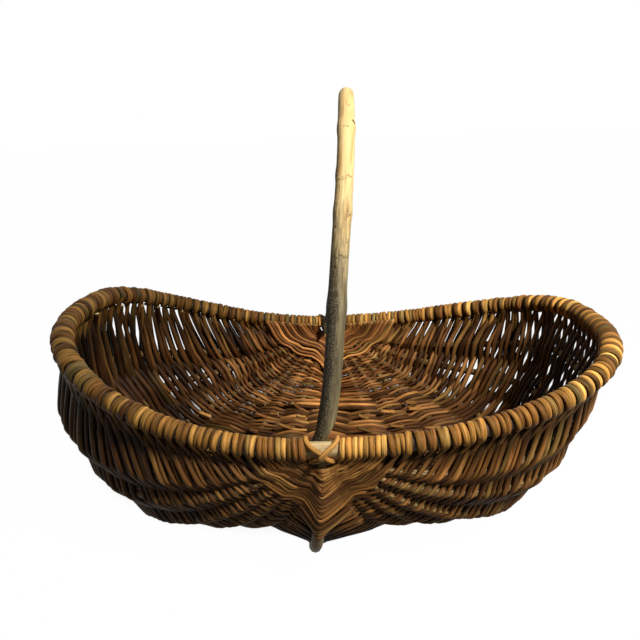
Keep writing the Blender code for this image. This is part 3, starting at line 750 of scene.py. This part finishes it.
def crossings(share, width, thickness):
    """Where each row crosses each strand, over it or under it by turns, with the outward directions there.

    Near the ears every row passes outside all the sticks. Above the keel's bare corner every row passes
    outside the keel, and at that corner inside it.
    """
    place = look_up(points, share)
    normal = unit(look_up(normals, share))
    reach = ear_reach(place)
    row, strand = np.arange(len(share))[:, None], np.array(STRAND_ORDER)[None, :]
    face = np.where((row + strand) % 2 == 0, 1.0, -1.0)
    face = np.where(reach < OUTSIDE_REACH, 1.0, face)
    far = np.abs(place[:, RIM, 1]) > KNOB_HALF_SPAN
    knob = np.where(place[:, RIM, 2] < KNOB_TOP, -1.0, 1.0)
    face[:, RIM] = np.where(far, knob, face[:, RIM])
    wide = np.clip(width / 2, ROD_NARROW_RADIUS, ROD_WIDE_RADIUS)
    wide = wide * (thickness / thickness.mean())[:, None]
    lift = face * (stick_radii(reach) + wide - ROD_BITE)
    return place + lift[..., None] * normal, normal, face, wide


def spliced(rows, stations):
    """Hue, light and taper of each row, which is two rods long: both change where the second one starts."""
    spot = np.arange(stations)[None, :]
    splice = luck.integers(stations // 4, 3 * stations // 4, (rows, 1))
    second = spot >= splice
    part = np.where(second, (spot - splice) / (stations - splice), 1 - spot / splice)
    hue, light = (np.where(second, luck.uniform(0, 1, (rows, 1)), luck.uniform(0, 1, (rows, 1)))
                  for _ in range(2))
    return hue, light, ROD_BUTT_SHARE + (ROD_TIP_SHARE - ROD_BUTT_SHARE) * part


def painted_daylight(path, gold, face):
    """Painted light and shade that a row gets by its place, as a share of plain light.

    Brown rods get more painted light towards the back, most of all in the middle, and painted shade inside
    the near wall. All get painted shade towards the left end. Towards the right end, those outside the ribs
    get more painted light and those inside get painted shade.
    """
    aside = np.clip(np.abs(path[..., 0]) / PAINTED_BACK_LIGHT_REACH, 0, 1)
    painted_light = PAINTED_BACK_LIGHT_SHARE * (1 - PAINTED_BACK_LIGHT_FADE_SHARE * aside) * (1 - gold)
    painted_light = 1 + painted_light * np.clip(path[..., 1] / RIM_HALF_WIDTH, 0, 1)
    painted_light = painted_light * (1 - PAINTED_LEFT_SHADE_SHARE * np.clip((PAINTED_LEFT_SHADE_START - path[..., 0]) / RIM_REACH_LEFT, 0, 1))
    painted_light = painted_light * (1 + PAINTED_RIGHT_LIGHT_SHADE_SHARE * face * np.clip(path[..., 0] / RIM_REACH_RIGHT, 0, 1))
    near = np.clip((PAINTED_NEAR_WALL_SHADE_START - path[..., 1]) / PAINTED_NEAR_WALL_SHADE_REACH, 0, 1)
    inside = np.clip(0.5 - face, 0, 1) * (1 - gold)
    return painted_light * (1 - PAINTED_NEAR_WALL_SHADE_SHARE * near * inside)


def rod_rows(stops, outward, radius, gold, flatness, face, steps, pulls):
    """Grid, length and tone of rows from their stops: hue, gold share on each side of the rod, and light.

    The side of a rod that its neighbours hide gets painted shade: light goes with slope times face
    times cos a, where face is 1 outside the ribs and -1 inside them. Between two rods there is painted
    shade by sin a squared.
    """
    values = np.stack([radius, gold, flatness, face], axis=-1)
    whole = hermite(np.concatenate([stops, outward, values], axis=-1), steps, pulls)
    path, out = whole[..., :3], whole[..., 3:6]
    radius, gold, flatness, face = np.moveaxis(whole[..., 6:], -1, 0)
    gold = np.clip(gold * GOLD_GAIN - GOLD_LOSS, 0, 1)
    hue, light, taper = spliced(*path.shape[:2])
    grid = round_grid(path, out, radius * (taper * (1 - gold) + gold), ROD_SIDES, flatness)
    grid[..., 2] = np.maximum(grid[..., 2], 0.0)
    angle = np.linspace(0, 2 * math.pi, ROD_SIDES, endpoint=False)
    wrap = gold[..., None]
    sun = BLEACHED_SHARE * (0.5 + 0.5 * np.cos(angle))
    golden = np.maximum(wrap, sun * (1 - wrap))
    # Painted shade between two rods, and on the side of each rod that its neighbours hide
    crease_shade = 1 - PAINTED_CREASE_SHADE * np.sin(angle) ** 2 * (1 - 0.5 * wrap)
    seen = 0.5 + DEPTH_SLOPE * face[..., None] * np.cos(angle) + WRAP_SIDE_LIGHT * wrap
    seen = np.clip(seen, 0, 1)
    # Painted light and shade by the row's place in the basket
    painted_light = painted_daylight(path, gold, face)
    light = light * painted_light
    light = (LIGHT_LEAST * painted_light + (1 - LIGHT_LEAST) * light)[..., None] * crease_shade
    light = light * (1 - DEPTH_SHADE * (1 - seen))
    tone = np.stack([np.broadcast_to(hue[..., None], golden.shape), golden, light], axis=-1)
    return grid, way_along(path) + luck.uniform(0, GRAIN_SHIFT, (len(path), 1)), tone


def full_rows(share, crossing, normal, face, wide):
    """Rows that run from rim to rim with a turn round it at each end."""
    left, right = wrap_stops(share, 0, face[:, 0]), wrap_stops(share, STRANDS - 1, face[:, -1])
    middle = [part[:, 1:-1] for part in (crossing, normal, wide)]
    stops, outward, radius = (np.concatenate([first[:, ::-1], inner, last], axis=1)
                              for first, inner, last in zip(left, middle, right))
    inner = STRANDS - 2
    repeats = [WRAP_STOPS] + [1] * inner + [WRAP_STOPS]
    side = np.repeat(face, repeats, axis=1)
    gold = np.broadcast_to(np.repeat([1.0] + [0.0] * inner + [1.0], repeats), side.shape)
    flatness = 1 - gold * (1 - WRAP_FLATNESS)
    turns, spans = WRAP_STOPS - 1, inner + 1
    steps = [WRAP_STEPS] * turns + [SPAN_STEPS] * spans + [WRAP_STEPS] * turns
    pulls = [1.0] * turns + [BEND_PULL] * spans + [1.0] * turns
    return rod_rows(stops, outward, radius, gold, flatness, side, steps, pulls)


def filler_rows(crossing, normal, face, wide, ends):
    """Rows over the ribs of one lobe.

    Their cut ends stand these shares of the way from the lobe's outermost ribs to the rim or the keel.
    """
    middle, middle_out = crossing[:, 1:-1], normal[:, 1:-1]
    first = middle[:, :1] + (crossing[:, :1] - middle[:, :1]) * ends[0]
    last = middle[:, -1:] + (crossing[:, -1:] - middle[:, -1:]) * ends[1]
    stops = np.concatenate([first, middle, last], axis=1)
    outward = np.concatenate([middle_out[:, :1], middle_out, middle_out[:, -1:]], axis=1)
    gold, flatness = np.zeros(wide.shape), np.ones(wide.shape)
    spans = stops.shape[1] - 1
    return rod_rows(stops, outward, wide, gold, flatness, face, [SPAN_STEPS] * spans, [BEND_PULL] * spans)


def weave_pieces():
    """The woven rows in a front and a back piece, which stand for the panels, ears and rim wraps.

    The fillers have a piece of their own in each lobe.
    """
    thickness, room, filler = plan_rows()
    share, width = row_shares(thickness, room)
    crossing, normal, face, wide = crossings(share, width, thickness)
    front = np.arange(ROWS) < ROWS // 2
    whole = full_rows(*(part[~filler] for part in (share, crossing, normal, face, wide)))
    for name, half in (("front", front), ("back", ~front)):
        nodes = [node for node in NODES if f"_{name}" in node and not node.startswith("ear_tie")]
        sticks_piece(f"willow_rows_{name}", *(part[half[~filler]] for part in whole), [bark],
                     nodes, "weave_rod")
    ends = (FILLER_RIM_SHARE, FILLER_KEEL_SHARE)
    lobes = (("left", slice(0, RIM + 1), ends), ("right", slice(RIM, STRANDS), ends[::-1]))
    for side, lobe, shares in lobes:
        here = filler & np.any(room[:, lobe] > 0, axis=1)
        extra = filler_rows(*(part[here, lobe] for part in (crossing, normal, face, wide)), shares)
        sticks_piece(f"filler_rows_{side}", *extra, [bark, cut_face], [], "weave_rod")
    ear_rows(*(part[~filler] for part in (share, normal, wide)))
    return crossing, normal, face


def ear_rows(share, normal, wide):
    """Rows inside the ribs' tips at both ears, each halfway between two of the rows that pass outside."""
    for name, near in (("front", slice(0, EAR_ROWS)), ("back", slice(-EAR_ROWS, None))):
        middle = (share[near][1:] + share[near][:-1]) / 2
        place = look_up(points, middle)
        stick = stick_radii(ear_reach(place))
        stick[:, [0, -1]] = RIM_RADIUS - EAR_ROW_LIFT / 2
        out = normal[near][1:]
        stops = place - (stick + EAR_ROW_LIFT / 2)[..., None] * out
        whole = np.ones(stick.shape)
        steps, pulls = [SPAN_STEPS // 2] * (STRANDS - 1), [1.0] * (STRANDS - 1)
        grid = rod_rows(stops, out, wide[near][1:], EAR_ROW_GOLD * whole, whole, -whole, steps, pulls)
        sticks_piece(f"ear_rows_{name}", *grid, [bark, cut_face], [], "weave_rod")


def inner_ends(crossing, normal, face):
    """Short cut ends of rods that were let in.

    Each starts on a row inside the basket and stands up from it: line + inward (start + lift share^bend).
    """
    inside = (face < 0) & (np.abs(crossing[..., 1]) < KNOB_HALF_SPAN)
    most = -INNER_END_SKIP - 1
    rows, columns = np.where(inside[FILLER_FREE_ROWS:-FILLER_FREE_ROWS, INNER_END_SKIP:most])
    pick = luck.choice(len(rows), INNER_ENDS, replace=False)
    rows, columns = rows[pick] + FILLER_FREE_ROWS, columns[pick] + INNER_END_SKIP
    start, inward = crossing[rows, columns], -normal[rows, columns]
    ahead = unit(crossing[rows, columns + 1] - start)
    hand = luck.choice([-1.0, 1.0], (INNER_ENDS, 1))
    length = luck.uniform(*INNER_END_LENGTH_SHARES, (INNER_ENDS, 1)) * INNER_END_LENGTH
    steps = np.linspace(0, 1, INNER_END_STATIONS)[None, :, None]
    line = start[:, None] + (ahead * hand * length)[:, None] * steps
    path = line + inward[:, None] * (INNER_END_START + INNER_END_LIFT * steps ** INNER_END_BEND)
    radius = luck.uniform(ROD_RADIUS_LEAST, ROD_RADIUS_MOST, (INNER_ENDS, 1))
    radius = np.repeat(radius, INNER_END_STATIONS, axis=1)
    grid = round_grid(path, np.repeat(inward[:, None], INNER_END_STATIONS, axis=1), radius, ROD_SIDES)
    tone = np.zeros((INNER_ENDS, 1, 1, 3)) + luck.uniform(0, 1, (INNER_ENDS, 1, 1, 3))
    tone[..., 1] *= INNER_END_GOLD
    tone[..., 2] = LIGHT_LEAST + (1 - LIGHT_LEAST) * tone[..., 2]
    sticks_piece("inner_rod_ends", grid, way_along(path), tone, [bark, cut_face], [], "weave_rod")


def frame_sticks():
    """Ribs and keel, each a round stick that is thinner towards its ends and a little knobbly."""
    rib_wood = peeled_stick("rib_stick", RIB_WOOD)
    keel_wood = peeled_stick("keel_stick", KEEL_WOOD)
    for column, index in enumerate(STRAND_ORDER):
        if abs(index) == RIM:
            continue
        line, reach = points[column], ear_reach(points[column])
        shown = reach >= (KEEL_TOP_REACH if index == 0 else RIB_TIP_REACH)
        path, outward = line[shown][::STICK_STRIDE], normals[column][shown][::STICK_STRIDE]
        radius = stick_radius(ear_reach(path), index)
        steps = np.linspace(0, 1, len(path))
        swell = 1.0
        for depth, turns, shift in STICK_SWELLS:
            swell = swell + depth * np.sin(steps * turns + shift * index)
        grid = round_grid(path[None], outward[None], (radius * swell)[None], STICK_SIDES)
        side = "left" if index < 0 else "right"
        name = "keel" if index == 0 else f"rib_{side}_{abs(index)}"
        wood, slot = (keel_wood, "keel_wood") if index == 0 else (rib_wood, "rib_wood")
        way = way_along(path[None]) + index
        sticks_piece(f"{name}_stick", grid, way, (0.5, 0, 0.5), [wood], [name], slot)


def rim_stick():
    """Bare hoop with painted shade under the wrapping, round the right side and back along the left one."""
    wood = peeled_stick("hoop_stick", BARE_HOOP, PAINTED_SHADE_HOOP)
    loop = np.concatenate([points[-1][:-1], points[0][:0:-1]])[::HOOP_STRIDE]
    out = np.concatenate([normals[-1][:-1], normals[0][:0:-1]])[::HOOP_STRIDE]
    radius = np.full((1, len(loop)), RIM_RADIUS)
    grid = round_grid(loop[None], out[None], radius, HOOP_SIDES, closed=True)
    # Pale bare wood at the ears, and painted shade where the wrapping covers the hoop
    bare = np.clip(BARE_FADE - np.abs(loop[:, 0]) / BARE_HALF_SPAN, 0, 1)
    tone = np.stack([bare, 0 * bare, 0 * bare], -1)[None, :, None]
    sticks_piece("rim_hoop_stick", grid, way_along(loop[None]), tone, [wood], ["rim_hoop"], "rim_wood",
                 closed=True)


def ear_ties():
    """Crossed rods over the rim at each ear: up inside the rim, over its outer face and tucked in under it.

    The path is a circle round the rim stick, by its turn. The second rod is lifted where it crosses the
    first by exp(-(turn past the crossing / lift turn)^2).
    """
    turn = np.radians(np.linspace(TIE_START_DEGREES, TIE_END_DEGREES, TIE_STEPS))
    past = turn - math.pi / 2
    for end, name in ((-1, "front"), (1, "back")):
        for number, hand, lift in ((1, -1, 0.0), (2, 1, TIE_RADIUS * 2 + TIE_GAP)):
            top = hand * TIE_TOP_OFFSET * (1 - np.clip(turn / (math.pi / 2), 0, 1) ** 2)
            foot = -hand * TIE_FOOT_OFFSET * past / TIE_FOOT_TURN
            x = np.where(past < 0, top, foot)
            out = RIM_RADIUS + TIE_GAP + TIE_RADIUS + lift * np.exp(-(past / TIE_LIFT_TURN) ** 2)
            y = end * (RIM_HALF_WIDTH + out * np.sin(turn))
            path = np.stack([x, y, EAR_HEIGHT + out * np.cos(turn)], -1)
            outward = np.stack([0 * turn, end * np.sin(turn), np.cos(turn)], -1)
            radius = np.full((1, TIE_STEPS), TIE_RADIUS)
            grid = round_grid(path[None], outward[None], radius, ROD_SIDES)
            tone = (TIE_HUE + TIE_HUE_STEP * number, TIE_GOLD, TIE_LIGHT)
            sticks_piece(f"tie_{name}_{number}_rod", grid, way_along(path[None]) + number, tone,
                         [bark, cut_face], [f"ear_tie_{name}_{number}"], "tie_rod")


def handle_bow():
    """Bow over the basket: a superellipse from ear to ear that leans to the right.

    Its radius swells at a few knots, by height times exp(-(past the knot / width)^2). It is cut on a slant
    at both feet: every point under the cut is raised to it.
    """
    power = 2 / HANDLE_SQUARENESS
    turn = np.linspace(0, math.pi, BOW_LINE_STEPS)
    rise = np.sin(turn).clip(0) ** power
    side = -np.sign(np.cos(turn)) * np.abs(np.cos(turn)) ** power
    lean = HANDLE_FOOT_SHIFT + HANDLE_LEAN * rise ** HANDLE_LEAN_POWER
    bow = np.stack([lean, HANDLE_HALF_SPAN * side, EAR_HEIGHT + HANDLE_HEIGHT * rise], -1)
    foot_height = EAR_HEIGHT - HANDLE_TAIL - HANDLE_TAIL_SPARE
    foot = np.array([[HANDLE_FOOT_SHIFT, -HANDLE_HALF_SPAN, foot_height]])
    line = np.concatenate([foot, bow, foot * np.array([1, -1, 1])])
    way = way_along(line)
    even = np.linspace(0, way[-1], HANDLE_STEPS)
    path = read_between(even, way, line)
    high = np.clip((path[:, 2] - EAR_HEIGHT) / HANDLE_HEIGHT, 0, 1)
    free = np.clip(high * HANDLE_SWAY_START_GAIN, 0, 1)
    path[:, 0] += HANDLE_SWAY * np.sin(even * HANDLE_SWAY_TURNS) * free
    radius = HANDLE_FOOT_RADIUS + (HANDLE_TOP_RADIUS - HANDLE_FOOT_RADIUS) * high
    for place, swell, width in HANDLE_SWELLS:
        radius = radius + swell * np.exp(-((even - place) / width) ** 2)
    outward = np.tile(np.array([1.0, 0, 0]), (HANDLE_STEPS, 1))
    grid = round_grid(path[None], outward[None], radius[None], HANDLE_SIDES)
    slope = HANDLE_CUT_RISE / (2 * HANDLE_FOOT_RADIUS)
    toe = HANDLE_FOOT_SHIFT + HANDLE_TOE_SHIFT - HANDLE_FOOT_RADIUS
    cut = EAR_HEIGHT - HANDLE_TAIL + slope * (grid[..., 0] - toe)
    grid[..., 2] = np.maximum(grid[..., 2], cut)
    turned = np.linspace(0, 2 * math.pi, HANDLE_SIDES, endpoint=False)
    tone = np.zeros((1, HANDLE_STEPS, HANDLE_SIDES, 3))
    tone[..., 0] = high[:, None]
    tone[..., 1] = 0.5 + 0.5 * np.cos(turned - 2 * math.pi * BARK_TURN)
    sticks_piece("handle_bow_stick", grid, even[None], tone, [handle_stick(), cut_face], ["handle_bow"],
                 "handle_wood")


def seen_directly(tree):
    """One for a ray from the camera, or one that a shiny or clear piece passes on."""
    path = add_node(tree, "LightPath").outputs
    seen = sums(tree, "MAXIMUM", path["Is Camera Ray"], path["Is Glossy Ray"])
    return sums(tree, "MAXIMUM", seen, path["Is Transmission Ray"])


def oval_reach(tree, centre, reach):
    """Distance from the centre of an oval on the floor, in shares of the way out to the oval.

    It is the length of (place - centre) / reach.
    """
    scale = [1 / part for part in reach]
    shift = [-part * at for part, at in zip(scale, centre)]
    place = add_node(tree, "TexCoord").outputs["Object"]
    under = add_node(tree, "VectorMath", place, (*scale, 0.0), (*shift, 0.0), operation="MULTIPLY_ADD")
    return add_node(tree, "VectorMath", under.outputs[0], operation="LENGTH").outputs["Value"]


def white_floor():
    """Floor that shows white to the camera, and keeps the basket's shadow near it."""
    material, tree, shader = new_material("white_floor", roughness=0.9, sheen=0.0)
    shader.inputs["Base Color"].default_value = (FLOOR_COLOUR, FLOOR_COLOUR, FLOOR_COLOUR, 1)
    oval = oval_reach(tree, FLOOR_SHADE_CENTRE, FLOOR_SHADE_REACH)
    far = spread(tree, oval, FLOOR_SHADE_FADE, (0.0, FLOOR_WHITE_SHARE), "SMOOTHSTEP")
    lit = add_node(tree, "BsdfDiffuse", (FLOOR_LIT_COLOUR, FLOOR_LIT_COLOUR, FLOOR_LIT_COLOUR, 1))
    lift = add_node(tree, "Emission", None, FLOOR_GLOW)
    shaded = add_node(tree, "AddShader", lit.outputs[0], lift.outputs[0])
    white = add_node(tree, "Emission")
    near = add_node(tree, "MixShader", far, shaded.outputs[0], white.outputs[0])
    whole = add_node(tree, "MixShader", seen_directly(tree), shader.outputs[0], near.outputs[0])
    tree.links.new(whole.outputs[0], tree.nodes["Material Output"].inputs["Surface"])
    corners = [(x * FLOOR_HALF, y * FLOOR_HALF, 0) for x, y in ((-1, -1), (1, -1), (1, 1), (-1, 1))]
    mesh = bpy.data.meshes.new("white_floor")
    mesh.from_pydata(corners, [], [(0, 1, 2, 3)])
    mesh.materials.append(material)
    placed("white_floor", mesh)


def soft_world():
    """Plain soft light from all round, and white to the camera."""
    world = bpy.data.worlds.new("white_room")
    bpy.context.scene.world = world
    world.use_nodes = True
    tree = world.node_tree
    background = tree.nodes["Background"]
    background.inputs["Color"].default_value = (1, 1, 1, 1)
    level = spread(tree, seen_directly(tree), (0.0, 1.0), (WORLD_LEVEL, 1.0))
    tree.links.new(level, background.inputs["Strength"])


def key_lamp():
    """Square lamp at the front on the right, high up and aimed at the basket."""
    light = bpy.data.lights.new("key_lamp", "AREA")
    light.size = KEY_LAMP_SIZE
    light.energy = KEY_LAMP_POWER
    holder = placed("key_lamp", light)
    holder.location = KEY_LAMP_PLACE
    aim = Vector(KEY_LAMP_TARGET) - Vector(KEY_LAMP_PLACE)
    holder.rotation_euler = aim.to_track_quat("-Z", "Y").to_euler()


def photo_camera():
    """Camera where the photograph was taken from, aimed at the middle of the rim at the ears' height."""
    a, e, r = CAMERA_AZIMUTH, CAMERA_ELEVATION, CAMERA_ROLL
    back = Vector((math.sin(a) * math.cos(e), -math.cos(a) * math.cos(e), math.sin(e)))
    right = Vector((math.cos(a), math.sin(a), 0))
    up = back.cross(right)
    right, up = right * math.cos(r) + up * math.sin(r), up * math.cos(r) - right * math.sin(r)
    lens = bpy.data.cameras.new("photo_camera")
    lens.lens = CAMERA_LENS
    lens.sensor_width = CAMERA_SENSOR
    lens.shift_x = CAMERA_SHIFT_X
    lens.shift_y = CAMERA_SHIFT_Y
    lens.clip_start = CAMERA_CLIP
    camera = placed("photo_camera", lens)
    turn = Matrix((right, up, back)).transposed().to_4x4()
    target = Vector((EAR_X, 0, EAR_HEIGHT))
    camera.matrix_world = Matrix.Translation(target + back * CAMERA_DISTANCE) @ turn
    bpy.context.scene.camera = camera


inner_ends(*weave_pieces())
frame_sticks()
rim_stick()
ear_ties()
handle_bow()
white_floor()
soft_world()
key_lamp()
photo_camera()
bpy.context.scene.view_settings.view_transform = "Standard"

bpy.context.view_layer.update()
